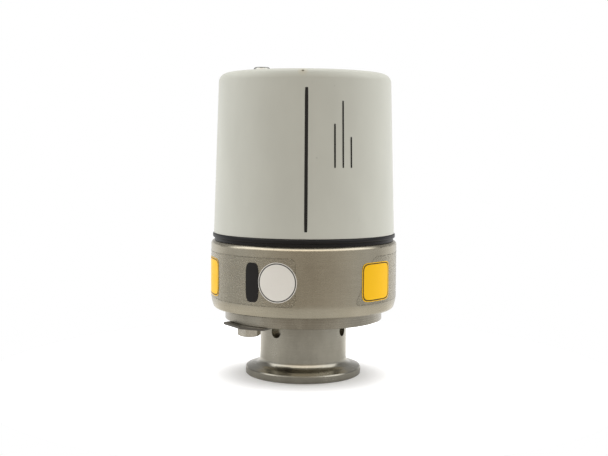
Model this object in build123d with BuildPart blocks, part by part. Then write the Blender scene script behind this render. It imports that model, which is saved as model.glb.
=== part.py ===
"""Cold cathode vacuum gauge on a DN 25 clamp flange, in millimetres.

The origin is the centre of the sealing face, and +Z runs up the gauge's axis to the cable connector.
The front is -Y. A turned chamber with its flange stands inside a ring of magnets in a steel housing,
and the electronics sit above them under a tapered plastic cap.
"""

from build123d import *
from math import cos, radians, sin, sqrt, tan
import os

# Fits
slip = 0.1  # radial gap of a part that slides over another
seat_gap = 0.05  # radial gap of a part that is pushed into its seat
hole_play = 0.1  # radial gap of a screw in its clearance hole

# Chamber: flange and neck
flange_d = 40.0
rim_h = 2.5
cone_angle = 15.0
neck_d = 30.0
neck_fillet_r = 2.5
edge_break = 0.3
centring_d = 26.2
centring_depth = 3.0
chamber_bore_d = 24.0

# Chamber: the two blind holes under the base disc, as angles from the front, positive to the right
hook_hole_d = 3.9
hook_hole_z = 15.8
hook_hole_depth = 2.2
hook_hole_angles = (-38.0, 63.0)

# Chamber: groove that takes the retaining plate
groove_depth = 0.8
groove_play = 0.05

# Chamber: top end with the seal pocket
chamber_rise = 6.9  # height of the chamber's top over the cap's rim
roof_t = 2.0
roof_hole_d = 8.0
pocket_d = 19.0
pocket_depth = 8.0
clamp_screw_d = 3.0
clamp_screw_count = 3
clamp_screw_l = 8.0
clamp_head_d = 5.5
clamp_head_h = 3.0
clamp_socket = 2.5
lock_washer_t = 0.7
lock_washer_d = 5.5

# Snap ring and pole insert
snap_land = 1.5  # wall between the centring recess and the groove
snap_t = 1.0
snap_groove_depth = 0.6
snap_play = 0.05
snap_width = 1.5
snap_gap_angle = 34.0
snap_ear_d = 2.8
snap_ear_hole_d = 1.1
pole_insert_t = 3.0
pole_insert_bore_d = 6.0
pole_hole_d = 4.0
pole_hole_circle_d = 15.0
pole_hole_count = 6
liner_wall = 0.8

# Anode and its feedthrough
anode_d = 2.0
anode_tip_z = 12.0
anode_stub = 2.5  # length of the anode above the glass
glass_d = 7.0
glass_below = 2.0  # glass under the feedthrough flange
glass_above = 2.5  # glass over it
feed_flange_t = 1.5
ignition_z = 25.0
ignition_d = 8.0
ignition_root_d = 4.4
ignition_t = 0.25
ignition_teeth = 8
seal_section_d = 2.5
support_ring_bore_d = 10.4
pressure_flange_t = 2.5
pressure_step = 0.4  # radial step from the neck in to the pressure piece's rim
pressure_bore_d = 8.4

# Contact spring and high voltage contact
spring_wire_d = 0.5
spring_mean_d = 3.3
spring_turns = 4.0
spring_h = 6.5
contact_head_d = 4.4
contact_head_t = 1.0
contact_wire_d = 1.6
insulator_d = 8.0
insulator_skirt = 1.5  # how far the insulator reaches below the contact

# Magnet unit
disc_z = 19.4  # underside of the base disc
disc_d = 54.3
disc_h = 4.0
disc_chamfer = 0.15
spigot_wall = 4.9
can_d = 64.0
can_h = 23.15
can_wall = 1.5
can_draw_r = 12.0  # the wide curve that draws the wall in above the housing's lower edge
can_draw_angle = 20.0
can_edge_r = 1.0
can_inner_r = 3.5
can_lip_r = 1.3
pole_shoe_t = 3.0
shoe_margin = 1.0  # from the lower shoe's rim to the start of the housing's corner
sleeve_wall = 1.9
magnet_gap = 1.0  # from the magnets to the housing's wall
magnet_h = 5.5

# Retaining plate and its screw, at an angle from the front, negative to the left
plate_angle = -47.0
plate_t = 0.7
plate_screw_inset = 2.55  # from the base disc's rim in to the screw's axis
plate_outline = ((-9.4, 1.35), (2.2, 3.45), (10.1, -0.05))  # outer corners: across, and past the disc's rim
plate_shoulder = 5.0  # out from the neck to where the sides start to close in
plate_side_w = 16.0
plate_tongue_w = 10.0
plate_round = 1.2
hex_screw_d = 4.0
hex_across_flats = 6.8
hex_head_h = 3.1
hex_chamfer = 0.3  # ring cut off the corners at the head's lower face
hex_chamfer_angle = 30.0
hex_reach = 0.4  # wall left over the end of the screw
hex_turn = 15.5

# Seal between the magnet housing and the cap
seal_neck_h = 0.95
seal_neck_inset = 0.3  # in from the cap's rim
bead_h = 1.6
bead_lip = 0.35  # out from the cap's rim
bead_round = 0.55
base_lap = 0.3  # how far the cap's wall stands over the electronics base
seal_skirt_h = 2.0

# Cap
cap_inset = 0.9  # in from the housing's wall
cap_h = 54.1
cap_draft = 1.78
cap_wall = 2.0
cap_top_t = 4.5
cap_edge_r = 3.0
boss_d = 6.0
boss_h = 12.0
boss_inset = 5.7  # in from the cap's rim to the boss's axis
boss_angles = (0.0, 120.0, 240.0)
boss_rib_w = 3.0

# Electronics base
base_t = 2.8
collar_wall = 2.5
collar_h = 8.0
cap_screw_d = 3.0
cap_screw_l = 8.5
cap_screw_head_d = 6.0
set_screw_d = 3.0
set_screw_recess = 1.4  # how deep the set screw sits in its rib
set_screw_rise = 3.9  # height of its axis over the cap's rim
set_screw_socket = 1.5
set_rib_w = 7.0
set_rib_h = 7.4
set_rib_gap = 0.7  # from the rib's end to the cap's wall
set_access_d = 4.0

# Boards and what stands on them
board_t = 1.6
hv_board_rise = 16.9  # underside of the lower board over the cap's rim
board_play = 2.5  # from a board's rim to the cap's wall
connector_board_gap = 3.6  # from the upper board's top to the connector
standoff_gap = 0.5  # from the base's collar to a standoff
standoff_af = 5.0
standoff_angles = (45.0, 135.0, 225.0, 315.0)
stud_d = 3.0
stud_l = 2.4
tap_l = 5.0
stud_end_play = 0.5
board_screw_l = 4.0
pan_head_d = 5.5
pan_head_h = 1.8
pan_slot_w = 0.8

# Components on the boards, as places across and towards the back
component_gap = 0.5  # from a standoff to the component beside it
module_l = 13.0
module_h = 10.0
module_y = -13.0
module_round = 1.0
core_w = 13.0
core_l = 10.0
core_h = 10.0
core_leg = 2.0
core_x = -7.5
coil_overhang = 0.5
coil_round = 2.0
capacitor_d = 6.3
capacitor_h = 10.0
capacitor_places = ((5.0, 6.0), (5.0, 14.0))
component_edge_r = 0.6
header_w = 2.5
header_l = 13.0
header_x = 14.0
chip_w = 5.0
chip_l = 6.2
chip_h = 1.6
chip_places = ((-17.0, 0.0), (17.0, 5.0), (17.0, -5.0))
trimmer_w = 6.5
trimmer_h = 4.0
trimmer_knob_d = 3.2
trimmer_knob_h = 0.8
trimmer_slot_w = 0.6
trimmer_offset = 6.0
trimmer_inset = 7.5  # in from the board's rim

# Cable connector
connector_flange = 34.0
connector_flange_t = 2.0
connector_flange_round = 4.0
connector_body_w = 23.0
connector_body_round = 4.0
connector_wall = 1.8
connector_well_round = 1.0
connector_well_depth = 11.0
connector_floor = 3.0
gasket_t = 0.5
recess_play = 0.2
contact_w = 3.0
contact_t = 0.8
contact_h = 6.0
contact_pitch = 6.0
contact_row = 6.2
contact_tail_d = 1.0
contact_bevel = 0.25
post_d = 6.8
post_h = 5.5
insert_d = 4.4
insert_thread_d = 3.0
connector_screw_inset = 2.8  # in from the flange's sides
connector_screw_d = 3.0
connector_screw_l = 7.0
connector_head_h = 1.2
connector_head_round = 0.8
connector_boss_d = 7.0
connector_boss_h = 5.0

# Heights that follow
can_z = disc_z + disc_h
seal_z = can_z + can_h
bead_z = seal_z + seal_neck_h
cap_z = bead_z + bead_h
top_z = cap_z + cap_h
chamber_top_z = cap_z + chamber_rise
pocket_z = chamber_top_z - pocket_depth
roof_z = pocket_z - roof_t
snap_z = centring_depth + snap_land
insert_z = snap_z + snap_t + 2 * snap_play
liner_z = insert_z + pole_insert_t
feed_z = pocket_z + seal_section_d
glass_top_z = feed_z + feed_flange_t + glass_above
pressure_top_z = chamber_top_z + pressure_flange_t
can_floor_z = can_z + can_wall
magnet_z = can_floor_z + pole_shoe_t
upper_shoe_z = magnet_z + 2 * magnet_h
plate_z = disc_z - plate_t
base_z = cap_z - base_t
set_screw_z = cap_z + set_screw_rise
well_floor_z = top_z - connector_well_depth
hv_board_z = cap_z + hv_board_rise
signal_board_z = well_floor_z - connector_floor - connector_board_gap - board_t
board_gap = signal_board_z - hv_board_z - board_t
upper_stud_l = tap_l + board_t - stud_end_play

# Widths that follow
neck_r = neck_d / 2
bore_d = neck_d + 2 * slip  # hole of every part that slides over the neck
pocket_part_d = pocket_d - 2 * slip  # outer size of what goes into the seal pocket
clamp_screw_circle_d = (pocket_d + neck_d) / 2  # in the middle of the pocket's wall
pressure_flange_d = neck_d - 2 * pressure_step
spigot_d = bore_d + 2 * spigot_wall
lower_shoe_d = can_d - 2 * can_wall - 2 * can_inner_r - 2 * shoe_margin
magnet_bore_d = bore_d + 2 * sleeve_wall
magnet_d = can_d - 2 * can_wall - 2 * magnet_gap
plate_screw_r = disc_d / 2 - plate_screw_inset
cap_d = can_d - 2 * cap_inset
seal_neck_d = cap_d - 2 * seal_neck_inset
bead_d = cap_d + 2 * bead_lip
seal_bore_d = cap_d - 2 * cap_wall + 2 * base_lap
boss_r = cap_d / 2 - boss_inset
collar_d = bore_d + 2 * collar_wall
base_d = seal_bore_d - 2 * slip
set_rib_r = cap_d / 2 - cap_wall - set_rib_gap
set_screw_l = set_rib_r - set_screw_recess - neck_r
standoff_corner_r = standoff_af / sqrt(3)
standoff_circle_d = collar_d + 2 * (standoff_corner_r + standoff_gap)
connector_screw_offset = connector_flange / 2 - connector_screw_inset
well_w = connector_body_w - 2 * connector_wall
os.makedirs("parts", exist_ok=True)


def about_axis(radius, angle):
    """The plan position at a radius, at an angle from the front, positive to the right."""
    return (radius * sin(radians(angle)), -radius * cos(radians(angle)))


def cap_radius(height):
    """The cap's outer radius at a height over its rim, with the draft taken off."""
    return cap_d / 2 - height * tan(radians(cap_draft))


# Boards, and the room between the standoffs for what stands on them
hv_board_d = 2 * (cap_radius(hv_board_z - cap_z) - cap_wall - board_play)
signal_board_d = 2 * (cap_radius(signal_board_z - cap_z) - cap_wall - board_play)
standoff_room = standoff_circle_d / 2 * sin(radians(standoff_angles[0])) - standoff_corner_r - component_gap
module_w = 2 * standoff_room
core_place = (core_x, standoff_room - coil_overhang - core_l / 2)
trimmer_y = trimmer_inset - signal_board_d / 2
trimmer_places = ((-trimmer_offset, trimmer_y), (trimmer_offset, trimmer_y))


def save(part, name):
    """Labels a finished piece and writes it."""
    part.label = name
    export_step(part, f"parts/{name}.step")


# Measuring chamber: flange, neck and seal pocket turned in one piece
cone_rise = (flange_d - neck_d) / 2 * tan(radians(cone_angle))
with BuildPart() as measuring_chamber:
    with BuildSketch(Plane.XZ):
        with BuildLine():
            Polyline(
                (centring_d / 2, 0),
                (flange_d / 2, 0),
                (flange_d / 2, rim_h),
                (neck_r, rim_h + cone_rise),
                (neck_r, chamber_top_z),
                (pocket_d / 2, chamber_top_z),
                (pocket_d / 2, pocket_z),
                (roof_hole_d / 2, pocket_z),
                (roof_hole_d / 2, roof_z),
                (chamber_bore_d / 2, roof_z),
                (chamber_bore_d / 2, centring_depth),
                (centring_d / 2, centring_depth),
                close=True,
            )
        make_face()
    revolve(axis=Axis.Z)
    neck_foot = measuring_chamber.edges().filter_by(GeomType.CIRCLE).filter_by(
        lambda edge: abs(edge.radius - neck_r) < 0.001
    )
    fillet(neck_foot.sort_by(Axis.Z)[0], neck_fillet_r)
    flange_edges = measuring_chamber.edges().filter_by(GeomType.CIRCLE).filter_by(
        lambda edge: abs(edge.radius - flange_d / 2) < 0.001
    )
    chamfer(flange_edges, edge_break)
    # Groove round the neck for the retaining plate, and groove in the bore for the snap ring
    with BuildSketch(Plane.XZ):
        with Locations((neck_r - groove_depth, plate_z - groove_play)):
            Rectangle(groove_depth, plate_t + 2 * groove_play, align=(Align.MIN, Align.MIN))
        with Locations((chamber_bore_d / 2, snap_z)):
            Rectangle(snap_groove_depth, snap_t + 2 * snap_play, align=(Align.MIN, Align.MIN))
    revolve(axis=Axis.Z, mode=Mode.SUBTRACT)
    for angle in hook_hole_angles:
        x, y = about_axis(neck_r - hook_hole_depth, angle)
        out = Vector(*about_axis(1, angle))
        with BuildSketch(Plane(origin=(x, y, hook_hole_z), z_dir=out)):
            Circle(hook_hole_d / 2)
        extrude(amount=neck_r, mode=Mode.SUBTRACT)
    with Locations((0, 0, chamber_top_z)):
        with PolarLocations(clamp_screw_circle_d / 2, clamp_screw_count, start_angle=30):
            Hole(clamp_screw_d / 2, depth=pocket_depth)
save(measuring_chamber.part, "measuring_chamber")

# Snap ring that holds the pole insert, with two ears for the pliers
snap_outer_r = chamber_bore_d / 2 + snap_groove_depth - snap_play
snap_mid_r = snap_outer_r - snap_width / 2
with BuildPart() as snap_ring:
    with BuildSketch(Plane.XY.offset(snap_z + snap_play)):
        Circle(snap_outer_r)
        Circle(snap_outer_r - snap_width, mode=Mode.SUBTRACT)
        gap_reach = 2 * snap_outer_r
        with BuildLine():
            Polyline(
                (0, 0),
                (gap_reach, gap_reach * tan(radians(snap_gap_angle / 2))),
                (gap_reach, -gap_reach * tan(radians(snap_gap_angle / 2))),
                close=True,
            )
        make_face(mode=Mode.SUBTRACT)
        ear_r = snap_outer_r - snap_width - snap_ear_d / 2 + snap_width / 2
        ear_turn = snap_gap_angle / 2
        for side in (-1, 1):
            with Locations(Location((0, 0, 0), (0, 0, side * ear_turn))):
                with Locations((ear_r, side * snap_ear_d / 2)):
                    Circle(snap_ear_d / 2)
                with Locations((ear_r, side * snap_ear_d / 2)):
                    Circle(snap_ear_hole_d / 2, mode=Mode.SUBTRACT)
    extrude(amount=snap_t)
save(snap_ring.part, "snap_ring")

# Pole insert: soft iron disc with gas holes
insert_outer_d = chamber_bore_d - 2 * seat_gap
with BuildPart() as pole_insert:
    with BuildSketch(Plane.XY.offset(insert_z)):
        Circle(insert_outer_d / 2)
        Circle(pole_insert_bore_d / 2, mode=Mode.SUBTRACT)
        with PolarLocations(pole_hole_circle_d / 2, pole_hole_count):
            Circle(pole_hole_d / 2, mode=Mode.SUBTRACT)
    extrude(amount=pole_insert_t)
save(pole_insert.part, "pole_insert")

# Cathode liner: titanium cup that lines the chamber
with BuildPart() as cathode_liner:
    with BuildSketch(Plane.XZ):
        with BuildLine():
            Polyline(
                (insert_outer_d / 2 - liner_wall, liner_z),
                (insert_outer_d / 2, liner_z),
                (insert_outer_d / 2, roof_z),
                (roof_hole_d / 2, roof_z),
                (roof_hole_d / 2, roof_z - liner_wall),
                (insert_outer_d / 2 - liner_wall, roof_z - liner_wall),
                close=True,
            )
        make_face()
    revolve(axis=Axis.Z)
save(cathode_liner.part, "cathode_liner")

# Anode pin with a rounded tip
anode_end_z = glass_top_z + anode_stub
with BuildPart() as anode_pin:
    with BuildSketch(Plane.XY.offset(anode_tip_z)):
        Circle(anode_d / 2)
    extrude(amount=anode_end_z - anode_tip_z)
    fillet(anode_pin.edges().sort_by(Axis.Z)[0], 0.4 * anode_d)
save(anode_pin.part, "anode_pin")

# Ignition aid: thin toothed star pressed on the anode
with BuildPart() as ignition_aid:
    with BuildSketch(Plane.XY.offset(ignition_z)):
        tooth_points = []
        for tooth in range(2 * ignition_teeth):
            point_r = ignition_d / 2 if tooth % 2 == 0 else ignition_root_d / 2
            tooth_points.append(about_axis(point_r, tooth * 180 / ignition_teeth))
        with BuildLine():
            Polyline(*tooth_points, close=True)
        make_face()
        Circle(anode_d / 2, mode=Mode.SUBTRACT)
    extrude(amount=ignition_t)
save(ignition_aid.part, "ignition_aid")

# Glass bead of the feedthrough, melted round the anode
with BuildPart() as feedthrough_glass:
    with BuildSketch(Plane.XY.offset(feed_z - glass_below)):
        Circle(glass_d / 2)
        Circle(anode_d / 2, mode=Mode.SUBTRACT)
    extrude(amount=glass_below + feed_flange_t + glass_above)
save(feedthrough_glass.part, "feedthrough_glass")

# Feedthrough flange: metal disc round the glass
with BuildPart() as feedthrough_flange:
    with BuildSketch(Plane.XY.offset(feed_z)):
        Circle(pocket_part_d / 2)
        Circle(glass_d / 2, mode=Mode.SUBTRACT)
    extrude(amount=feed_flange_t)
save(feedthrough_flange.part, "feedthrough_flange")

# Chamber seal: fluoroelastomer ring between the pocket's wall and the support ring
seal_section_r = seal_section_d / 2 - seat_gap
seal_mid_r = (pocket_d - seal_section_d) / 2
with BuildPart() as chamber_seal:
    with BuildSketch(Plane.XZ):
        with Locations((seal_mid_r, pocket_z + seal_section_d / 2)):
            Circle(seal_section_r)
    revolve(axis=Axis.Z)
save(chamber_seal.part, "chamber_seal")

# Support ring inside the seal
with BuildPart() as support_ring:
    with BuildSketch(Plane.XY.offset(pocket_z)):
        Circle(seal_mid_r - seal_section_d / 2)
        Circle(support_ring_bore_d / 2, mode=Mode.SUBTRACT)
    extrude(amount=seal_section_d - seat_gap)
save(support_ring.part, "support_ring")

# Pressure piece: presses the feedthrough flange on its seal
with BuildPart() as pressure_piece:
    with BuildSketch(Plane.XZ):
        with BuildLine():
            Polyline(
                (pressure_bore_d / 2, feed_z + feed_flange_t),
                (pocket_part_d / 2, feed_z + feed_flange_t),
                (pocket_part_d / 2, chamber_top_z),
                (pressure_flange_d / 2, chamber_top_z),
                (pressure_flange_d / 2, pressure_top_z),
                (pressure_bore_d / 2, pressure_top_z),
                close=True,
            )
        make_face()
    revolve(axis=Axis.Z)
    with Locations((0, 0, pressure_top_z)):
        with PolarLocations(clamp_screw_circle_d / 2, clamp_screw_count, start_angle=30):
            Hole(clamp_screw_d / 2 + hole_play)
save(pressure_piece.part, "pressure_piece")

# Lock washers under the clamp screws
with BuildPart() as lock_washers:
    with BuildSketch(Plane.XY.offset(pressure_top_z)):
        with PolarLocations(clamp_screw_circle_d / 2, clamp_screw_count, start_angle=30):
            Circle(lock_washer_d / 2)
            Circle(clamp_screw_d / 2 + hole_play, mode=Mode.SUBTRACT)
    extrude(amount=lock_washer_t)
save(lock_washers.part, "lock_washers")

# Clamp screws: hexagon socket heads
clamp_head_z = pressure_top_z + lock_washer_t
with BuildPart() as clamp_screws:
    with BuildSketch(Plane.XY.offset(clamp_head_z)):
        with PolarLocations(clamp_screw_circle_d / 2, clamp_screw_count, start_angle=30):
            Circle(clamp_head_d / 2)
    extrude(amount=clamp_head_h)
    with BuildSketch(Plane.XY.offset(clamp_head_z - clamp_screw_l)):
        with PolarLocations(clamp_screw_circle_d / 2, clamp_screw_count, start_angle=30):
            Circle(clamp_screw_d / 2)
    extrude(amount=clamp_screw_l)
    with BuildSketch(Plane.XY.offset(clamp_head_z + clamp_head_h / 2)):
        with PolarLocations(clamp_screw_circle_d / 2, clamp_screw_count, start_angle=30):
            RegularPolygon(clamp_socket / 2, 6, major_radius=False)
    extrude(amount=clamp_head_h / 2, mode=Mode.SUBTRACT)
save(clamp_screws.part, "clamp_screws")

# Contact spring between the feedthrough and the high voltage contact
spring_r = spring_mean_d / 2
wire_r = spring_wire_d / 2
spring_rise = spring_h - spring_wire_d - 2 * seat_gap
with BuildPart() as contact_spring:
    with BuildLine():
        coil = Helix(
            pitch=spring_rise / spring_turns,
            height=spring_rise,
            radius=spring_r,
            center=(0, 0, glass_top_z + wire_r + seat_gap),
        )
    with BuildSketch(Plane(origin=coil @ 0, z_dir=coil % 0)):
        Circle(wire_r)
    sweep(is_frenet=True)
save(contact_spring.part, "contact_spring")

# High voltage contact: head for the spring and a pin up to the lower board
contact_z = glass_top_z + spring_h
with BuildPart() as hv_contact:
    with BuildSketch(Plane.XY.offset(contact_z)):
        Circle(contact_head_d / 2)
    extrude(amount=contact_head_t)
    with BuildSketch(Plane.XY.offset(contact_z)):
        Circle(contact_wire_d / 2)
    extrude(amount=hv_board_z + board_t + contact_head_t - contact_z)
save(hv_contact.part, "hv_contact")

# Insulator round the high voltage contact, hanging from the lower board
with BuildPart() as hv_insulator:
    with BuildSketch(Plane.XZ):
        with BuildLine():
            Polyline(
                (contact_wire_d / 2 + seat_gap, hv_board_z),
                (insulator_d / 2, hv_board_z),
                (insulator_d / 2, contact_z - insulator_skirt),
                (contact_head_d / 2 + seat_gap, contact_z - insulator_skirt),
                (contact_head_d / 2 + seat_gap, contact_z + contact_head_t),
                (contact_wire_d / 2 + seat_gap, contact_z + contact_head_t),
                close=True,
            )
        make_face()
    revolve(axis=Axis.Z)
save(hv_insulator.part, "hv_insulator")

# Base disc of the magnet unit, with the spigot that centres the housing and the screw's thread
screw_x, screw_y = about_axis(plate_screw_r, plate_angle)
hex_shank_l = disc_h - hex_reach + plate_t
with BuildPart() as base_disc:
    with BuildSketch(Plane.XZ):
        with BuildLine():
            Polyline(
                (bore_d / 2, disc_z),
                (disc_d / 2 - disc_chamfer, disc_z),
                (disc_d / 2, disc_z + disc_chamfer),
                (disc_d / 2, can_z),
                (spigot_d / 2, can_z),
                (spigot_d / 2, can_floor_z),
                (bore_d / 2, can_floor_z),
                close=True,
            )
        make_face()
    revolve(axis=Axis.Z)
    with BuildSketch(Plane.XY.offset(disc_z)):
        with Locations((screw_x, screw_y)):
            Circle(hex_screw_d / 2)
    extrude(amount=disc_h - hex_reach, mode=Mode.SUBTRACT)
save(base_disc.part, "base_disc")

# Magnet housing: drawn can whose wall curves in a little to a tight lower edge; its upper edge is rounded
can_r = can_d / 2
draw_in = can_draw_r * (1 - cos(radians(can_draw_angle)))
edge_rise = can_edge_r * (1 - sin(radians(can_draw_angle)))
draw_rise = can_draw_r * sin(radians(can_draw_angle))
flat_r = can_r - draw_in - can_edge_r * cos(radians(can_draw_angle))
with BuildPart() as magnet_housing:
    with BuildSketch(Plane.XZ):
        with BuildLine():
            floor_out = Line((spigot_d / 2, can_z), (flat_r, can_z))
            edge = TangentArc(floor_out @ 1, (can_r - draw_in, can_z + edge_rise), tangent=(1, 0))
            draw = TangentArc(edge @ 1, (can_r, can_z + edge_rise + draw_rise), tangent=edge % 1)
            wall_out = Line(draw @ 1, (can_r, seal_z - can_lip_r))
            lip = TangentArc(wall_out @ 1, (can_r - can_lip_r, seal_z), tangent=(0, 1))
            brim = Line(lip @ 1, (can_r - can_wall, seal_z))
            wall_in = Line(brim @ 1, (can_r - can_wall, can_floor_z + can_inner_r))
            corner_in = TangentArc(
                wall_in @ 1, (can_r - can_wall - can_inner_r, can_floor_z), tangent=(0, -1)
            )
            floor_in = Line(corner_in @ 1, (spigot_d / 2, can_floor_z))
            Line(floor_in @ 1, floor_out @ 0)
        make_face()
    revolve(axis=Axis.Z)
save(magnet_housing.part, "magnet_housing")

# Pole shoes below and above the magnets
with BuildPart() as lower_pole_shoe:
    with BuildSketch(Plane.XY.offset(can_floor_z)):
        Circle(lower_shoe_d / 2)
        Circle(bore_d / 2, mode=Mode.SUBTRACT)
    extrude(amount=pole_shoe_t)
save(lower_pole_shoe.part, "lower_pole_shoe")

with BuildPart() as upper_pole_shoe:
    with BuildSketch(Plane.XY.offset(upper_shoe_z)):
        Circle(can_r - can_wall - seat_gap)
        Circle(bore_d / 2, mode=Mode.SUBTRACT)
    extrude(amount=pole_shoe_t)
save(upper_pole_shoe.part, "upper_pole_shoe")

# Sleeve that keeps the magnets centred on the neck
with BuildPart() as centring_sleeve:
    with BuildSketch(Plane.XY.offset(magnet_z)):
        Circle(magnet_bore_d / 2 - seat_gap)
        Circle(bore_d / 2, mode=Mode.SUBTRACT)
    extrude(amount=2 * magnet_h)
save(centring_sleeve.part, "centring_sleeve")

# Two ferrite ring magnets
for level, magnet_name in enumerate(("lower_ring_magnet", "upper_ring_magnet")):
    with BuildPart() as ring_magnet:
        with BuildSketch(Plane.XY.offset(magnet_z + level * magnet_h)):
            Circle(magnet_d / 2)
            Circle(magnet_bore_d / 2, mode=Mode.SUBTRACT)
        extrude(amount=magnet_h)
    save(ring_magnet.part, magnet_name)

# Retaining plate: sheet tongue in the neck's groove, held under the base disc
tongue_r = neck_r - groove_depth + slip
outer_left, outer_peak, outer_right = plate_outline
with BuildPart() as retaining_plate:
    with BuildSketch(Plane.XY.offset(plate_z).rotated((0, 0, plate_angle))) as plate_sketch:
        # In this turned sketch X runs across the plate and -Y runs outwards
        with BuildLine():
            Polyline(
                (-plate_tongue_w / 2, 0),
                (-plate_tongue_w / 2, -neck_r - slip),
                (-plate_side_w / 2, -neck_r - plate_shoulder),
                (outer_left[0], -disc_d / 2 - outer_left[1]),
                (outer_peak[0], -disc_d / 2 - outer_peak[1]),
                (outer_right[0], -disc_d / 2 - outer_right[1]),
                (plate_side_w / 2, -neck_r - plate_shoulder),
                (plate_tongue_w / 2, -neck_r - slip),
                (plate_tongue_w / 2, 0),
                close=True,
            )
        make_face()
        Circle(tongue_r, mode=Mode.SUBTRACT)
        outer_corners = plate_sketch.vertices().filter_by(
            lambda corner: Vector(corner.X, corner.Y).length > plate_screw_r
        )
        fillet(outer_corners, plate_round)
        with Locations((0, -plate_screw_r)):
            Circle(hex_screw_d / 2 + hole_play, mode=Mode.SUBTRACT)
    extrude(amount=plate_t)
save(retaining_plate.part, "retaining_plate")

# Hexagon head screw under the plate
with BuildPart() as hex_head_screw:
    with BuildSketch(Plane.XY.offset(plate_z - hex_head_h)):
        with Locations(Location((screw_x, screw_y, 0), (0, 0, hex_turn))):
            RegularPolygon(hex_across_flats / 2, 6, major_radius=False, rotation=0)
    extrude(amount=hex_head_h)
    # Turned bevel on the corners of the head's lower face
    with Locations((screw_x, screw_y, plate_z - hex_head_h)):
        Cone(
            hex_across_flats / 2 - hex_chamfer,
            hex_across_flats / 2 - hex_chamfer + hex_head_h / tan(radians(hex_chamfer_angle)),
            hex_head_h,
            align=(Align.CENTER, Align.CENTER, Align.MIN),
            mode=Mode.INTERSECT,
        )
    with BuildSketch(Plane.XY.offset(plate_z)):
        with Locations((screw_x, screw_y)):
            Circle(hex_screw_d / 2)
    extrude(amount=hex_shank_l)
save(hex_head_screw.part, "hex_head_screw")

# Rubber seal between the housing's brim and the cap's rim
with BuildPart() as housing_seal:
    with BuildSketch(Plane.XZ):
        with BuildLine():
            Polyline(
                (seal_bore_d / 2, seal_z - seal_skirt_h),
                (can_r - can_wall - slip, seal_z - seal_skirt_h),
                (can_r - can_wall - slip, seal_z),
                (seal_neck_d / 2, seal_z),
                (seal_neck_d / 2, bead_z),
                (bead_d / 2, bead_z),
                (bead_d / 2, cap_z),
                (seal_bore_d / 2, cap_z),
                close=True,
            )
        make_face()
    revolve(axis=Axis.Z)
    bead_edges = housing_seal.edges().filter_by(GeomType.CIRCLE).filter_by(
        lambda edge: abs(edge.radius - bead_d / 2) < 0.001
    )
    fillet(bead_edges, bead_round)
save(housing_seal.part, "housing_seal")

# Electronics base: plate, collar on the chamber, and the rib with the set screw's thread
with BuildPart() as electronics_base:
    with BuildSketch(Plane.XY.offset(base_z)):
        Circle(base_d / 2)
    extrude(amount=base_t)
    with BuildSketch(Plane.XY.offset(cap_z)):
        Circle(collar_d / 2)
    extrude(amount=collar_h)
    with BuildSketch(Plane.XY.offset(cap_z)):
        with Locations((0, set_rib_r / 2)):
            Rectangle(set_rib_w, set_rib_r)
    extrude(amount=set_rib_h)
    with BuildSketch(Plane.XY.offset(base_z)):
        Circle(bore_d / 2)
    extrude(amount=base_t + collar_h, mode=Mode.SUBTRACT)
    with BuildSketch(Plane.XZ.offset(-set_rib_r)):
        with Locations((0, set_screw_z)):
            Circle(set_screw_d / 2)
    extrude(amount=set_rib_r, mode=Mode.SUBTRACT)
    # Countersunk holes of the cap screws, from below
    for angle in boss_angles:
        x, y = about_axis(boss_r, angle)
        with BuildSketch(Plane.XY.offset(base_z)):
            with Locations((x, y)):
                Circle(cap_screw_d / 2 + hole_play)
        extrude(amount=base_t, mode=Mode.SUBTRACT)
        with Locations((x, y, base_z)):
            Cone(
                cap_screw_head_d / 2 + hole_play,
                cap_screw_d / 2 + hole_play,
                (cap_screw_head_d - cap_screw_d) / 2,
                align=(Align.CENTER, Align.CENTER, Align.MIN),
                mode=Mode.SUBTRACT,
            )
    # Threads for the standoffs
    with BuildSketch(Plane.XY.offset(cap_z - stud_l)):
        for angle in standoff_angles:
            with Locations(about_axis(standoff_circle_d / 2, angle)):
                Circle(stud_d / 2)
    extrude(amount=stud_l, mode=Mode.SUBTRACT)
save(electronics_base.part, "electronics_base")

# Countersunk screws that hold the cap to the base
with BuildPart() as cap_screws:
    for angle in boss_angles:
        x, y = about_axis(boss_r, angle)
        with Locations((x, y, base_z)):
            Cone(
                cap_screw_head_d / 2,
                cap_screw_d / 2,
                (cap_screw_head_d - cap_screw_d) / 2,
                align=(Align.CENTER, Align.CENTER, Align.MIN),
            )
        with BuildSketch(Plane.XY.offset(base_z)):
            with Locations((x, y)):
                Circle(cap_screw_d / 2)
        extrude(amount=cap_screw_l)
save(cap_screws.part, "cap_screws")

# Set screw that locks the electronics on the chamber
with BuildPart() as set_screw:
    with BuildSketch(Plane.XZ.offset(-neck_r)):
        with Locations((0, set_screw_z)):
            Circle(set_screw_d / 2)
    extrude(amount=-set_screw_l)
    with BuildSketch(Plane.XZ.offset(-neck_r - set_screw_l)):
        with Locations((0, set_screw_z)):
            RegularPolygon(set_screw_socket / 2, 6, major_radius=False)
    extrude(amount=set_screw_socket, mode=Mode.SUBTRACT)
save(set_screw.part, "set_screw")

# Lower standoffs, with a stud into the base and a thread for the upper ones
with BuildPart() as lower_standoffs:
    with BuildSketch(Plane.XY.offset(cap_z)):
        for angle in standoff_angles:
            with Locations(about_axis(standoff_circle_d / 2, angle)):
                RegularPolygon(standoff_af / 2, 6, major_radius=False)
    extrude(amount=hv_board_rise)
    with BuildSketch(Plane.XY.offset(cap_z - stud_l)):
        for angle in standoff_angles:
            with Locations(about_axis(standoff_circle_d / 2, angle)):
                Circle(stud_d / 2)
    extrude(amount=stud_l)
    with BuildSketch(Plane.XY.offset(hv_board_z - tap_l)):
        for angle in standoff_angles:
            with Locations(about_axis(standoff_circle_d / 2, angle)):
                Circle(stud_d / 2)
    extrude(amount=tap_l, mode=Mode.SUBTRACT)
save(lower_standoffs.part, "lower_standoffs")

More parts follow.
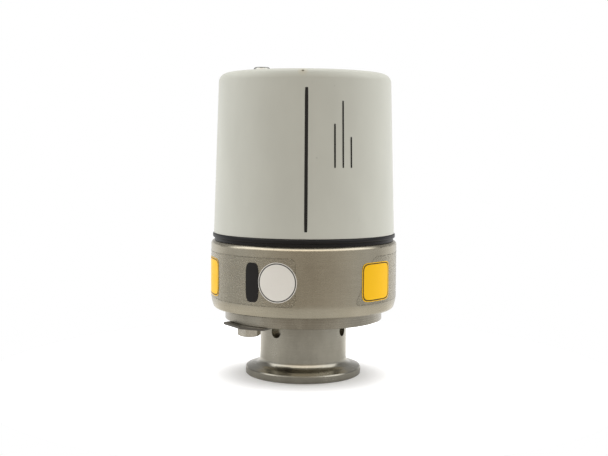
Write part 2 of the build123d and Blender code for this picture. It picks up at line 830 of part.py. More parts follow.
# Upper standoffs, whose studs clamp the lower board
with BuildPart() as upper_standoffs:
    with BuildSketch(Plane.XY.offset(hv_board_z + board_t)):
        for angle in standoff_angles:
            with Locations(about_axis(standoff_circle_d / 2, angle)):
                RegularPolygon(standoff_af / 2, 6, major_radius=False)
    extrude(amount=board_gap)
    with BuildSketch(Plane.XY.offset(hv_board_z + board_t - upper_stud_l)):
        for angle in standoff_angles:
            with Locations(about_axis(standoff_circle_d / 2, angle)):
                Circle(stud_d / 2)
    extrude(amount=upper_stud_l)
    with BuildSketch(Plane.XY.offset(signal_board_z - tap_l)):
        for angle in standoff_angles:
            with Locations(about_axis(standoff_circle_d / 2, angle)):
                Circle(stud_d / 2)
    extrude(amount=tap_l, mode=Mode.SUBTRACT)
save(upper_standoffs.part, "upper_standoffs")

# Lower board with the high voltage supply
with BuildPart() as hv_board:
    with BuildSketch(Plane.XY.offset(hv_board_z)):
        Circle(hv_board_d / 2)
        Circle(contact_wire_d / 2 + seat_gap, mode=Mode.SUBTRACT)
        for angle in standoff_angles:
            with Locations(about_axis(standoff_circle_d / 2, angle)):
                Circle(stud_d / 2 + hole_play, mode=Mode.SUBTRACT)
    extrude(amount=board_t)
save(hv_board.part, "hv_board")

# Potted high voltage module on the lower board
with BuildPart() as hv_module:
    with BuildSketch(Plane.XY.offset(hv_board_z + board_t)):
        with Locations((0, module_y)):
            RectangleRounded(module_w, module_l, module_round)
    extrude(amount=module_h)
    fillet(hv_module.faces().sort_by(Axis.Z)[-1].edges(), component_edge_r)
save(hv_module.part, "hv_module")

# Transformer: wound bobbin between the halves of its ferrite core
with BuildPart() as transformer_core:
    with BuildSketch(Plane.XY.offset(hv_board_z + board_t)):
        with Locations(core_place):
            Rectangle(core_w, core_l)
            Rectangle(core_w - 2 * core_leg, core_l, mode=Mode.SUBTRACT)
    extrude(amount=core_h)
    with BuildSketch(Plane.XY.offset(hv_board_z + board_t + core_h - core_leg)):
        with Locations(core_place):
            Rectangle(core_w, core_l)
    extrude(amount=core_leg)
save(transformer_core.part, "transformer_core")

coil_w = core_w - 2 * core_leg - 2 * slip
with BuildPart() as transformer_coil:
    with BuildSketch(Plane.XY.offset(hv_board_z + board_t)):
        with Locations(core_place):
            RectangleRounded(coil_w, core_l + 2 * coil_overhang, coil_round)
    extrude(amount=core_h - core_leg - slip)
save(transformer_coil.part, "transformer_coil")

# Electrolytic capacitors
with BuildPart() as capacitors:
    with BuildSketch(Plane.XY.offset(hv_board_z + board_t)):
        with Locations(*capacitor_places):
            Circle(capacitor_d / 2)
    extrude(amount=capacitor_h)
    fillet(capacitors.edges().group_by(Axis.Z)[-1], component_edge_r)
save(capacitors.part, "capacitors")

# Pin header that joins the two boards
with BuildPart() as board_header:
    with BuildSketch(Plane.XY.offset(hv_board_z + board_t)):
        with Locations((header_x, 0)):
            Rectangle(header_w, header_l)
    extrude(amount=board_gap)
save(board_header.part, "board_header")

# Upper board with the signal amplifier, drilled for the connector's tails
contact_places = []
for row in (-1, 1):
    for column in (-1, 0, 1):
        contact_places.append((column * contact_pitch, row * contact_row))
with BuildPart() as signal_board:
    with BuildSketch(Plane.XY.offset(signal_board_z)):
        Circle(signal_board_d / 2)
        with Locations(*contact_places):
            Circle(contact_tail_d / 2 + seat_gap, mode=Mode.SUBTRACT)
        for angle in standoff_angles:
            with Locations(about_axis(standoff_circle_d / 2, angle)):
                Circle(stud_d / 2 + hole_play, mode=Mode.SUBTRACT)
    extrude(amount=board_t)
save(signal_board.part, "signal_board")

# Integrated circuits on the upper board
with BuildPart() as signal_chips:
    with BuildSketch(Plane.XY.offset(signal_board_z + board_t)):
        with Locations(*chip_places):
            Rectangle(chip_w, chip_l)
    extrude(amount=chip_h)
save(signal_chips.part, "signal_chips")

# Trimmers for zero and high voltage
with BuildPart() as trimmers:
    with BuildSketch(Plane.XY.offset(signal_board_z + board_t)):
        with Locations(*trimmer_places):
            Rectangle(trimmer_w, trimmer_w)
    extrude(amount=trimmer_h)
    with BuildSketch(Plane.XY.offset(signal_board_z + board_t + trimmer_h)):
        with Locations(*trimmer_places):
            Circle(trimmer_knob_d / 2)
            Rectangle(trimmer_knob_d, trimmer_slot_w, mode=Mode.SUBTRACT)
    extrude(amount=trimmer_knob_h)
save(trimmers.part, "trimmers")

# Pan head screws that hold the upper board
with BuildPart() as board_screws:
    with BuildSketch(Plane.XY.offset(signal_board_z + board_t)):
        for angle in standoff_angles:
            with Locations(about_axis(standoff_circle_d / 2, angle)):
                Circle(pan_head_d / 2)
    extrude(amount=pan_head_h)
    with BuildSketch(Plane.XY.offset(signal_board_z + board_t - board_screw_l)):
        for angle in standoff_angles:
            with Locations(about_axis(standoff_circle_d / 2, angle)):
                Circle(stud_d / 2)
    extrude(amount=board_screw_l)
    with BuildSketch(Plane.XY.offset(signal_board_z + board_t + pan_head_h / 2)):
        for angle in standoff_angles:
            with Locations(about_axis(standoff_circle_d / 2, angle)):
                Rectangle(pan_head_d, pan_slot_w)
    extrude(amount=pan_head_h / 2, mode=Mode.SUBTRACT)
save(board_screws.part, "board_screws")

# Cap: tapered moulding with the connector's recess, the screw bosses and the set screw's hole
recess_w = connector_flange + 2 * recess_play
recess_depth = connector_flange_t + gasket_t
opening_w = connector_body_w + 2 * recess_play
inner_h = cap_h - cap_top_t
connector_screw_places = (
    (-connector_screw_offset, -connector_screw_offset),
    (connector_screw_offset, connector_screw_offset),
)
with BuildPart() as cap:
    with BuildSketch(Plane.XZ):
        with BuildLine():
            Polyline(
                (cap_radius(0) - cap_wall, cap_z),
                (cap_radius(0), cap_z),
                (cap_radius(cap_h), top_z),
                (0, top_z),
                (0, cap_z + inner_h),
                (cap_radius(inner_h) - cap_wall, cap_z + inner_h),
                close=True,
            )
        make_face()
    revolve(axis=Axis.Z)
    top_edges = cap.edges().filter_by(GeomType.CIRCLE).filter_by(
        lambda edge: abs(edge.arc_center.Z - top_z) < 0.001
    )
    fillet(top_edges, cap_edge_r)
    # Screw bosses on the wall
    for angle in boss_angles:
        x, y = about_axis(boss_r, angle)
        rib_x, rib_y = about_axis((boss_r + cap_d / 2 - cap_wall / 2) / 2, angle)
        rib_l = cap_d / 2 - cap_wall / 2 - boss_r
        with BuildSketch(Plane.XY.offset(cap_z)):
            with Locations((x, y)):
                Circle(boss_d / 2)
            with Locations(Location((rib_x, rib_y, 0), (0, 0, angle))):
                Rectangle(boss_rib_w, rib_l)
        extrude(amount=boss_h)
        with BuildSketch(Plane.XY.offset(cap_z)):
            with Locations((x, y)):
                Circle(cap_screw_d / 2)
        extrude(amount=cap_screw_l, mode=Mode.SUBTRACT)
    # Recess and opening for the connector, with bosses for its screws
    with BuildSketch(Plane.XY.offset(cap_z + inner_h - connector_boss_h)):
        with Locations(*connector_screw_places):
            Circle(connector_boss_d / 2)
    extrude(amount=connector_boss_h)
    with BuildSketch(Plane.XY.offset(top_z - recess_depth)):
        RectangleRounded(recess_w, recess_w, connector_flange_round + recess_play)
    extrude(amount=recess_depth, mode=Mode.SUBTRACT)
    with BuildSketch(Plane.XY.offset(cap_z + inner_h - connector_boss_h)):
        RectangleRounded(opening_w, opening_w, connector_body_round + recess_play)
    extrude(amount=cap_top_t + connector_boss_h, mode=Mode.SUBTRACT)
    with BuildSketch(Plane.XY.offset(top_z - recess_depth)):
        with Locations(*connector_screw_places):
            Circle(connector_screw_d / 2)
    extrude(amount=-connector_screw_l, mode=Mode.SUBTRACT)
    # Hole for the key of the set screw, at the back
    with BuildSketch(Plane.XZ.offset(-cap_d / 2)):
        with Locations((0, set_screw_z)):
            Circle(set_access_d / 2)
    extrude(amount=2 * cap_wall, mode=Mode.SUBTRACT)
save(cap.part, "cap")

# Gasket under the connector's flange
gasket_z = top_z - recess_depth
flange_z = gasket_z + gasket_t
with BuildPart() as connector_gasket:
    with BuildSketch(Plane.XY.offset(gasket_z)):
        RectangleRounded(connector_flange, connector_flange, connector_flange_round)
        RectangleRounded(opening_w, opening_w, connector_body_round + recess_play, mode=Mode.SUBTRACT)
        with Locations(*connector_screw_places):
            Circle(connector_screw_d / 2 + hole_play, mode=Mode.SUBTRACT)
    extrude(amount=gasket_t)
save(connector_gasket.part, "connector_gasket")

# Connector body: moulded insert with a well for the cable's socket and a post for its screw
with BuildPart() as connector_body:
    with BuildSketch(Plane.XY.offset(flange_z)):
        RectangleRounded(connector_flange, connector_flange, connector_flange_round)
        with Locations(*connector_screw_places):
            Circle(connector_screw_d / 2 + hole_play, mode=Mode.SUBTRACT)
    extrude(amount=connector_flange_t)
    with BuildSketch(Plane.XY.offset(well_floor_z - connector_floor)):
        RectangleRounded(connector_body_w, connector_body_w, connector_body_round)
    extrude(amount=flange_z - well_floor_z + connector_floor)
    with BuildSketch(Plane.XY.offset(well_floor_z)):
        RectangleRounded(well_w, well_w, connector_well_round)
    extrude(amount=connector_well_depth, mode=Mode.SUBTRACT)
    with BuildSketch(Plane.XY.offset(well_floor_z)):
        Circle(post_d / 2)
    extrude(amount=post_h)
    with BuildSketch(Plane.XY.offset(well_floor_z)):
        Circle(insert_d / 2)
    extrude(amount=post_h, mode=Mode.SUBTRACT)
    with BuildSketch(Plane.XY.offset(well_floor_z - connector_floor)):
        with Locations(*contact_places):
            Circle(contact_tail_d / 2)
    extrude(amount=connector_floor, mode=Mode.SUBTRACT)
save(connector_body.part, "connector_body")

# Threaded brass insert in the post
with BuildPart() as connector_insert:
    with BuildSketch(Plane.XY.offset(well_floor_z)):
        Circle(insert_d / 2)
        Circle(insert_thread_d / 2, mode=Mode.SUBTRACT)
    extrude(amount=post_h)
save(connector_insert.part, "connector_insert")

# Six flat contacts, each with a round tail down to the upper board
with BuildPart() as connector_contacts:
    with BuildSketch(Plane.XY.offset(well_floor_z)):
        with Locations(*contact_places):
            Rectangle(contact_w, contact_t)
    extrude(amount=contact_h)
    chamfer(connector_contacts.faces().group_by(Axis.Z)[-1].edges().filter_by(Axis.X), contact_bevel)
    with BuildSketch(Plane.XY.offset(signal_board_z)):
        with Locations(*contact_places):
            Circle(contact_tail_d / 2)
    extrude(amount=well_floor_z - signal_board_z)
save(connector_contacts.part, "connector_contacts")

# Pan head screws at two corners of the connector's flange
with BuildPart() as connector_screws:
    with BuildSketch(Plane.XY.offset(top_z)):
        with Locations(*connector_screw_places):
            Circle(pan_head_d / 2)
    extrude(amount=connector_head_h)
    fillet(connector_screws.edges().group_by(Axis.Z)[-1], connector_head_round)
    with BuildSketch(Plane.XY.offset(top_z + connector_head_h / 2)):
        with Locations(*connector_screw_places):
            Rectangle(pan_head_d, pan_slot_w)
    extrude(amount=connector_head_h / 2, mode=Mode.SUBTRACT)
    with BuildSketch(Plane.XY.offset(top_z - connector_screw_l)):
        with Locations(*connector_screw_places):
            Circle(connector_screw_d / 2)
    extrude(amount=connector_screw_l)
save(connector_screws.part, "connector_screws")
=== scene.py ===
"""Cold cathode vacuum gauge standing on its clamp flange, in metres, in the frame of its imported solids."""

import math

import bpy
import numpy as np
from mathutils import Matrix


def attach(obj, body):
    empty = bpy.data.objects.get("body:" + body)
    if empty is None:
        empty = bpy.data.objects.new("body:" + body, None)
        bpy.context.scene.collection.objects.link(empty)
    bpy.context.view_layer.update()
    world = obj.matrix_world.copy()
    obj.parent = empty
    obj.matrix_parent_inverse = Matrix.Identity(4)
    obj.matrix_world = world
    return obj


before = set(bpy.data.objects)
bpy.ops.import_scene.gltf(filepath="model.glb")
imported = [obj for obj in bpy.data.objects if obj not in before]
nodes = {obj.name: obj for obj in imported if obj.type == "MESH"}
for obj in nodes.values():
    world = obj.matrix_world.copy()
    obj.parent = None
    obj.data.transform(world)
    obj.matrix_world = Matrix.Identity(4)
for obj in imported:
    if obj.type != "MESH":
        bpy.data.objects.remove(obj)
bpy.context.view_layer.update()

# Camera: a short telephoto on a tripod in front of the gauge, level with the middle of the cap.
# It looks down by a few degrees and leans a little to one side, as the picture does.
camera_data = bpy.data.cameras.new("camera")
camera_data.sensor_width = 36.0
camera_data.lens = 60.27
camera_data.clip_start = 0.01
camera_data.clip_end = 20.0
camera = bpy.data.objects.new("camera", camera_data)
bpy.context.scene.collection.objects.link(camera)
look_down = math.radians(4.25)
lean = math.radians(0.421)
camera.matrix_world = (
    Matrix.Translation((0.0, -0.3522, 0.07657))
    @ Matrix.Rotation(math.pi / 2 - look_down, 4, "X")
    @ Matrix.Rotation(lean, 4, "Z")
)
bpy.context.scene.camera = camera
bpy.context.scene.view_settings.view_transform = "Standard"


# Studio: a white tent whose opening is on the camera's side, where the room is dim and a little warm.
# The gauge stands on a white table, between two soft boxes at its sides and under a third one overhead.
class Value:
    """A socket in a node tree that can be used in sums: each sign adds a Math node."""

    def __init__(self, tree, socket):
        self.tree = tree
        self.socket = socket

    def math(self, operation, *terms):
        node = self.tree.nodes.new("ShaderNodeMath")
        node.operation = operation
        for slot, term in zip(node.inputs, terms):
            if isinstance(term, Value):
                self.tree.links.new(term.socket, slot)
            else:
                slot.default_value = term
        return Value(self.tree, node.outputs[0])

    def __add__(self, other):
        return self.math("ADD", self, other)

    def __radd__(self, other):
        return self.math("ADD", other, self)

    def __sub__(self, other):
        return self.math("SUBTRACT", self, other)

    def __rsub__(self, other):
        return self.math("SUBTRACT", other, self)

    def __mul__(self, other):
        return self.math("MULTIPLY", self, other)

    def __rmul__(self, other):
        return self.math("MULTIPLY", other, self)

    def __truediv__(self, other):
        return self.math("DIVIDE", self, other)

    def __rtruediv__(self, other):
        return self.math("DIVIDE", other, self)

    def __pow__(self, other):
        return self.math("POWER", self, other)

    def clamped(self):
        """The value held between 0 and 1."""
        return self.math("MAXIMUM", self.math("MINIMUM", self, 1.0), 0.0)

    def step(self, low, high):
        """0 below low, 1 above high, and a straight ramp between them."""
        return ((self - low) / (high - low)).clamped()


class Finish:
    """A node tree for one surface: node() adds any node, and the other methods are short names for it."""

    def __init__(self, owner):
        owner.use_nodes = True
        self.owner = owner
        self.tree = owner.node_tree
        self.tree.nodes.clear()

    def node(self, kind, settings=None, output=0, **sockets):
        """Adds a node, sets its settings, then its sockets; a socket's name has _ for each space."""
        node = self.tree.nodes.new("ShaderNode" + kind)
        for name, setting in (settings or {}).items():
            setattr(node, name, setting)
        for name, value in sockets.items():
            key = int(name[1:]) if name[0] == "s" and name[1:].isdigit() else name.replace("_", " ")
            slot = node.inputs[key]
            if isinstance(value, Value):
                self.tree.links.new(value.socket, slot)
            else:
                slot.default_value = value
        return Value(self.tree, node.outputs[output]) if len(node.outputs) else None

    def split(self, vector):
        """The three values of a vector."""
        outputs = self.node("SeparateXYZ", Vector=vector).socket.node.outputs
        return tuple(Value(self.tree, socket) for socket in outputs)

    def place(self):
        """The place on the object as three values, in metres."""
        return self.split(self.node("TexCoord", output="Object"))

    def vector(self, x, y, z):
        return self.node("CombineXYZ", X=x, Y=y, Z=z)

    def noise(self, vector, scale, detail=2.0, rough=0.5):
        """Noise around 0.5, with a given number of bumps to the unit of its vector."""
        return self.node("TexNoise", Vector=vector, Scale=scale, Detail=detail, Roughness=rough)

    def mix(self, factor, first, second):
        """The first colour where the factor is 0, and the second where it is 1."""
        return self.node("Mix", {"data_type": "RGBA"}, output=2, s0=factor, s6=first, s7=second)

    def near(self, places, radius, soft=0.5):
        """1 within a distance of any of the given places, fading out over the soft share of it."""
        x, y, z = self.place()
        mark = None
        for place in places:
            away = ((x - place[0]) ** 2 + (y - place[1]) ** 2 + (z - place[2]) ** 2) ** 0.5
            spot = 1 - away.step(radius * (1 - soft), radius)
            mark = spot if mark is None else mark.math("MAXIMUM", mark, spot)
        return mark

    def bump(self, height, depth, strength=1.0):
        """A normal from a height between 0 and 1, where 1 stands depth metres out."""
        return self.node("Bump", Height=height, Distance=depth, Strength=strength)

    def surface(self, **sockets):
        """Finishes the tree with the shader, whose sockets are given by name."""
        self.node("OutputMaterial", Surface=self.node("BsdfPrincipled", **sockets))
        return self.owner


def rgb(red, green, blue):
    """A colour written as the screen shows it, from 0 to 255, as the shader wants it."""
    screen = np.array([red, green, blue]) / 255
    linear = np.where(screen <= 0.04045, screen / 12.92, ((screen + 0.055) / 1.055) ** 2.4)
    return (*linear.tolist(), 1.0)


world = bpy.data.worlds.new("tent")
bpy.context.scene.world = world
tent = Finish(world)
across, backwards, upwards = tent.split(tent.node("TexCoord", output="Generated"))
seen = tent.node("LightPath", output="Is Camera Ray")
mirrored = tent.node("LightPath", output="Is Glossy Ray")
through = tent.node("LightPath", output="Is Transmission Ray")


def wall_level(backward):
    """What polished metal sees low down in the tent: dim in front (-1), brighter at the sides and behind (1)."""
    return 0.38 + backward.step(-0.98, -0.55) * 0.17 + backward.step(0.25, 0.75) * 0.42


tent_lit = 0.86 + backwards * 0.30
side = across.math("ABSOLUTE")
lamp_width = side.step(0.26, 0.40) * (1 - side.step(0.76, 0.90)) * (1 - backwards.step(0.05, 0.25))
lamp_glare = upwards.step(0.12, 0.32) * (1 - upwards.step(0.76, 0.88)) * lamp_width
tent_roof = upwards.step(0.60, 0.90) * backwards.step(0.0, 0.35)
tent_mirrored = wall_level(backwards) * (1 - upwards.step(0.04, 0.25) * 0.62) + lamp_glare * 1.7 + tent_roof * 0.9
tent_level = tent_lit * (1 - mirrored) + tent_mirrored * mirrored
to_front = (backwards * -1).step(0.30, 0.95)
plain_white = (seen + through).clamped()
tent_light = tent.node(
    "Background",
    Color=tent.mix(to_front * (1 - plain_white), (1.0, 1.0, 1.0, 1.0), (1.0, 0.92, 0.82, 1.0)),
    Strength=tent_level * (1 - plain_white) + plain_white,
)
tent.node("OutputWorld", Surface=tent_light)

# The table is one smooth round sheet under the flange. The gauge's soft shadow on it is part cast and part painted.
# What the camera sees of it glows, rising to white away from the gauge so that its edge can't be seen; the first rise,
# close round the flange, paints part of the shadow. What metal mirrors of it is a glow alone, set by direction like
# the tent, with a painted shadow near the flange.
table_radius = 0.11
table_drop = 0.00002
turn = np.linspace(0, 2 * math.pi, 96, endpoint=False)
table_mesh = bpy.data.meshes.new("table")
table_points = np.stack([table_radius * np.cos(turn), table_radius * np.sin(turn), 0 * turn - table_drop], axis=-1)
table_mesh.from_pydata(table_points.tolist(), [], [list(range(len(turn)))])
table = bpy.data.objects.new("table", table_mesh)
bpy.context.scene.collection.objects.link(table)
table_paint = Finish(bpy.data.materials.new("table_white"))
x, y, z = table_paint.place()
away = (x * x + y * y) ** 0.5
shown = (
    table_paint.node("LightPath", output="Is Camera Ray") + table_paint.node("LightPath", output="Is Transmission Ray")
).clamped()
# Painted shadow: the glow is weak close to the flange and rises away from it, so part of the shade round the foot is
# painted.
glow_with_painted_shadow = 0.03 + away.step(0.0205, 0.030) * 0.20 + away.step(0.028, 0.058) * 0.50
table_diffuse = table_paint.node("BsdfDiffuse", Color=(0.84, 0.84, 0.84, 1.0))
table_glow = table_paint.node("Emission", Color=(1.0, 1.0, 1.0, 1.0), Strength=shown * glow_with_painted_shadow)
table_lit = table_paint.node("AddShader", s0=table_diffuse, s1=table_glow)
# Painted shadow in reflections: the glow that metal mirrors is dimmer near the flange.
painted_shadow_near_flange = 0.45 + away.step(0.020, 0.045) * 0.55
table_glow_in_reflections = table_paint.node(
    "Emission", Color=(1.0, 0.98, 0.94, 1.0), Strength=(wall_level(y / away) + 0.25) * painted_shadow_near_flange
)
table_glossy = table_paint.node("LightPath", output="Is Glossy Ray")
table_both = table_paint.node("MixShader", s0=table_glossy, s1=table_lit, s2=table_glow_in_reflections)
table_paint.node("OutputMaterial", Surface=table_both)
table_mesh.materials.append(table_paint.owner)

for box_place, energy in (((-0.66, 0.27, 0.42), 3.1), ((0.66, 0.27, 0.42), 3.7), ((0.0, 0.12, 0.72), 1.8)):
    box_data = bpy.data.lights.new("soft_box", "AREA")
    box_data.shape = "RECTANGLE"
    box_data.size = 0.60
    box_data.size_y = 0.45
    box_data.energy = energy
    soft_box = bpy.data.objects.new("soft_box", box_data)
    soft_box.visible_glossy = False
    bpy.context.scene.collection.objects.link(soft_box)
    box_stand = Matrix.Translation(box_place)
    soft_box.matrix_world = box_stand @ (-box_stand.translation).to_track_quat("-Z", "Y").to_matrix().to_4x4()


def dress(names, finish):
    """Gives each named CAD piece its finish."""
    for name in names:
        for slot in nodes[name].material_slots:
            slot.material = finish


# Measuring chamber: clamp flange, cone and neck turned in one piece from stainless bar. The tool has left
# fine rings along the neck and round the flange, and handling has left a few dull patches and small nicks.
def machined(name, dark, light, roughness, depth=0.000003, marks=()):
    """A turned metal: fine rings round the axis under a slow cloud, between a dark and a light colour.

    Each mark is a list of places, a radius and how dark it is.
    """
    finish = Finish(bpy.data.materials.new(name))
    x, y, z = finish.place()
    reach = (x * x + y * y) ** 0.5
    rings = finish.noise(finish.vector(x * 8, y * 8, (z + reach) * 4200), 1.0, 3.0, 0.6)
    cloud = finish.noise(finish.vector(x, y, z * 0.6), 150.0, 4.0, 0.6)
    tone = (rings * 0.45 + cloud * 0.55).step(0.32, 0.68)
    colour = finish.mix(tone, dark, light)
    for places, radius, strength in marks:
        colour = finish.mix(finish.near(places, radius) * strength, colour, rgb(38, 33, 27))
    return finish.surface(
        Base_Color=colour,
        Metallic=1.0,
        Roughness=roughness + (rings - 0.5) * 0.10 + (cloud - 0.5) * 0.16,
        Normal=finish.bump(rings, depth),
    )


turned_steel = machined(
    "turned_stainless",
    rgb(150, 146, 134),
    rgb(180, 176, 164),
    0.24,
    marks=(([(-0.01878, -0.00405, 0.0031)], 0.00045, 0.9), ([(0.0094, -0.0255, 0.0196)], 0.0003, 0.3)),
)
dress(["measuring_chamber"], turned_steel)

# Gas path inside the neck: a pole insert with gas holes behind a snap ring, the cathode liner, and the
# anode with its toothed ignition aid. The iron is nickel plated, the liner titanium, the anode molybdenum.
dress(["pole_insert"], machined("nickel_on_iron", rgb(152, 152, 150), rgb(180, 180, 176), 0.34))
dress(["cathode_liner"], machined("titanium", rgb(128, 124, 120), rgb(160, 155, 150), 0.42))


def drawn_wire(name, dark, light, roughness):
    """A drawn or stamped metal without rings: fine grain in every direction over a slow cloud."""
    finish = Finish(bpy.data.materials.new(name))
    x, y, z = finish.place()
    grain = finish.noise(finish.vector(x, y, z), 5200.0, 3.0, 0.6)
    cloud = finish.noise(finish.vector(x, y, z), 420.0, 3.0, 0.55)
    return finish.surface(
        Base_Color=finish.mix((grain * 0.4 + cloud * 0.6).step(0.3, 0.7), dark, light),
        Metallic=1.0,
        Roughness=roughness + (grain - 0.5) * 0.12 + (cloud - 0.5) * 0.12,
        Normal=finish.bump(grain, 0.000004),
    )


dress(["anode_pin", "ignition_aid"], drawn_wire("molybdenum", rgb(134, 136, 142), rgb(168, 170, 176), 0.30))
dress(["snap_ring", "contact_spring"], drawn_wire("spring_steel", rgb(112, 110, 106), rgb(158, 156, 150), 0.30))

# Feedthrough: a stainless flange with a glass bead melted round the anode, pressed on its seal with a
# support ring by the pressure piece. Three black screws with spring washers clamp it to the neck's shoulder.
glass = Finish(bpy.data.materials.new("sealing_glass"))
x, y, z = glass.place()
bubbles = glass.noise(glass.vector(x, y, z), 1800.0, 2.0)
sealing_glass = glass.surface(
    Base_Color=glass.mix(bubbles.step(0.6, 0.7), rgb(120, 152, 148), rgb(168, 192, 188)),
    Roughness=0.08 + bubbles * 0.06,
    Transmission_Weight=0.6,
    IOR=1.52,
    Normal=glass.bump(bubbles, 0.000004),
)
dress(["feedthrough_glass"], sealing_glass)
dress(
    ["feedthrough_flange", "support_ring", "pressure_piece"],
    machined("fine_turned_stainless", rgb(176, 173, 162), rgb(204, 201, 190), 0.20, 0.000003),
)


def coated_screw(name, dark, light, roughness, metallic):
    """A plated or blackened screw: cloudy colour, rubbed lighter where grains stand out."""
    finish = Finish(bpy.data.materials.new(name))
    x, y, z = finish.place()
    cloud = finish.noise(finish.vector(x, y, z), 900.0, 4.0, 0.6)
    rub = finish.noise(finish.vector(x, y, z), 3600.0, 3.0, 0.7)
    return finish.surface(
        Base_Color=finish.mix((cloud * 0.6 + rub * 0.4).step(0.32, 0.68), dark, light),
        Metallic=metallic,
        Roughness=roughness + (cloud - 0.5) * 0.20,
        Normal=finish.bump(rub, 0.000005),
    )


dress(["clamp_screws", "set_screw"], coated_screw("black_oxide", rgb(34, 34, 36), rgb(60, 60, 62), 0.42, 0.6))
zinc_plate = coated_screw("zinc_plate", rgb(176, 176, 170), rgb(208, 207, 200), 0.26, 1.0)
dress(["lock_washers", "cap_screws", "board_screws", "connector_screws"], zinc_plate)

# Base disc: a turned stainless disc that carries the magnet unit on the neck's collar. Its underside is
# faced, and its rim shows the same fine rings as the neck.
dress(["base_disc"], machined("faced_stainless", rgb(154, 148, 134), rgb(184, 178, 164), 0.26))

# Retaining plate: stamped from stainless sheet, with a tongue in the neck's groove and a hexagon head
# screw that holds it to the disc. Its colour carries painted light and shade: the flat faces are painted lighter, in
# slow smudges, and the cut edges darker.
sheet = Finish(bpy.data.materials.new("rolled_sheet"))
x, y, z = sheet.place()
rolled = sheet.noise(sheet.vector((x + y) * 900, (x - y) * 5200, z * 900), 1.0, 3.0, 0.6)
smudge = sheet.noise(sheet.vector(x, y, z), 240.0, 3.0)
# Painted light and shade: the colour is chosen by the way the surface faces, lighter on flat faces and darker on the
# cut edges.
painted_light_on_faces = sheet.split(sheet.node("NewGeometry", output="Normal"))[2].math("ABSOLUTE").step(0.5, 0.9)
rolled_sheet = sheet.surface(
    Base_Color=sheet.mix(
        painted_light_on_faces * (0.55 + smudge * 0.6).clamped(), rgb(112, 108, 102), rgb(190, 185, 172)
    ),
    Metallic=1.0,
    Roughness=0.30 + (rolled - 0.5) * 0.16,
    Normal=sheet.bump(rolled, 0.000006),
)
dress(["retaining_plate"], rolled_sheet)
dress(["hex_head_screw"], coated_screw("stainless_screw", rgb(196, 190, 176), rgb(226, 221, 208), 0.22, 1.0))

# Magnets and iron: two ferrite rings between nickel plated pole shoes, on an aluminium sleeve. They sit
# inside the housing, pressed together by its floor and the upper shoe.
dress(["lower_pole_shoe", "upper_pole_shoe"], machined("pole_iron", rgb(140, 140, 138), rgb(170, 170, 166), 0.38))
dress(["centring_sleeve"], machined("turned_aluminium", rgb(196, 197, 198), rgb(220, 221, 222), 0.28))
ferrite = Finish(bpy.data.materials.new("sintered_ferrite"))
x, y, z = ferrite.place()
sinter = ferrite.noise(ferrite.vector(x, y, z), 2600.0, 4.0, 0.7)
sintered_ferrite = ferrite.surface(
    Base_Color=ferrite.mix(sinter.step(0.35, 0.7), rgb(46, 46, 49), rgb(74, 74, 78)),
    Roughness=0.62 + (sinter - 0.5) * 0.2,
    Normal=ferrite.bump(sinter, 0.00002),
)
dress(["lower_ring_magnet", "upper_ring_magnet", "transformer_core"], sintered_ferrite)

# Magnet housing: a stainless can, drawn and then ground on a belt while it turned, which leaves short
# level scratches. Later knocks have scratched the rounded upper edge across, and fingers have clouded it.
ground = Finish(bpy.data.materials.new("ground_stainless"))
x, y, z = ground.place()
turn = x.math("ARCTAN2", x, y * -1)
belt = ground.noise(ground.vector(turn * 11, z * 5600, 0.0), 1.0, 4.0, 0.65)
belt_wide = ground.noise(ground.vector(turn * 3, z * 1100, 3.0), 1.0, 2.0)
cloud = ground.noise(ground.vector(x, y, z), 110.0, 4.0, 0.6)
upright = ground.noise(ground.vector(turn * 26, z * 60, 7.0), 1.0, 3.0, 0.6)
tone = (belt * 0.34 + belt_wide * 0.24 + cloud * 0.26 + upright * 0.16).step(0.30, 0.70)
steel_colour = ground.mix(tone, rgb(178, 170, 151), rgb(198, 191, 173))
scratch_zone = turn.step(-0.34, -0.31) * (1 - turn.step(-0.19, -0.16)) * z.step(0.0448, 0.0455)
scratch = ground.noise(ground.vector(turn * 210 + z * 900, 0.0, 0.0), 1.0, 2.0, 0.7).step(0.60, 0.66)
nicks = ground.near([(-0.02795, -0.0146, 0.0459), (0.0254, -0.0195, 0.0457)], 0.0004)
worn = (scratch * scratch_zone * 0.55 + nicks * 0.8).clamped()
ground_steel = ground.surface(
    Base_Color=ground.mix(worn, steel_colour, rgb(60, 54, 44)),
    Metallic=1.0,
    Roughness=0.27 + (belt - 0.5) * 0.10 + (cloud - 0.5) * 0.10,
    Normal=ground.bump(belt * 0.7 + belt_wide * 0.3 - worn * 0.5, 0.000004),
)
dress(["magnet_housing"], ground_steel)

# Label: a clear polyester film wrapped round the housing from behind, with plain colour fields printed on
# it. Its two ends are cut with round corners and leave a strip of bare steel at the front.
can_radius = 0.032
film_low, film_high = 0.0272, 0.0430
film_start, film_end = math.radians(38.0), math.radians(355.5)
film_slant = math.radians(14.6)
film_corner = 0.0022
film_gap = 0.00003
film_thickness = 0.00005


def grid_faces(rows, columns, closed=False):
    """The four-cornered faces of a grid of points, row by row; closed joins the last column to the first."""
    number = np.arange(rows * columns).reshape(rows, columns)
    if closed:
        number = np.hstack([number, number[:, :1]])
    corners = number[:-1, :-1], number[:-1, 1:], number[1:, 1:], number[1:, :-1]
    return np.stack(corners, axis=-1).reshape(-1, 4).tolist()


def new_piece(name, points, faces, finish, rim=None):
    """A mesh piece at the origin from arrays of points and faces; rim is 0 at its edge and 1 well inside."""
    mesh = bpy.data.meshes.new(name)
    mesh.from_pydata(points.reshape(-1, 3).tolist(), [], faces)
    mesh.shade_smooth()
    mesh.materials.append(finish)
    if rim is not None:
        mesh.attributes.new("rim", "FLOAT", "POINT").data.foreach_set("value", rim.ravel())
    piece = bpy.data.objects.new(name, mesh)
    bpy.context.scene.collection.objects.link(piece)
    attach(piece, "root")
    return piece


def around(radius, angle, height):
    """Points round the upright axis: the angle is taken from the front, towards the right."""
    return np.stack([radius * np.sin(angle), -radius * np.cos(angle), height], axis=-1)


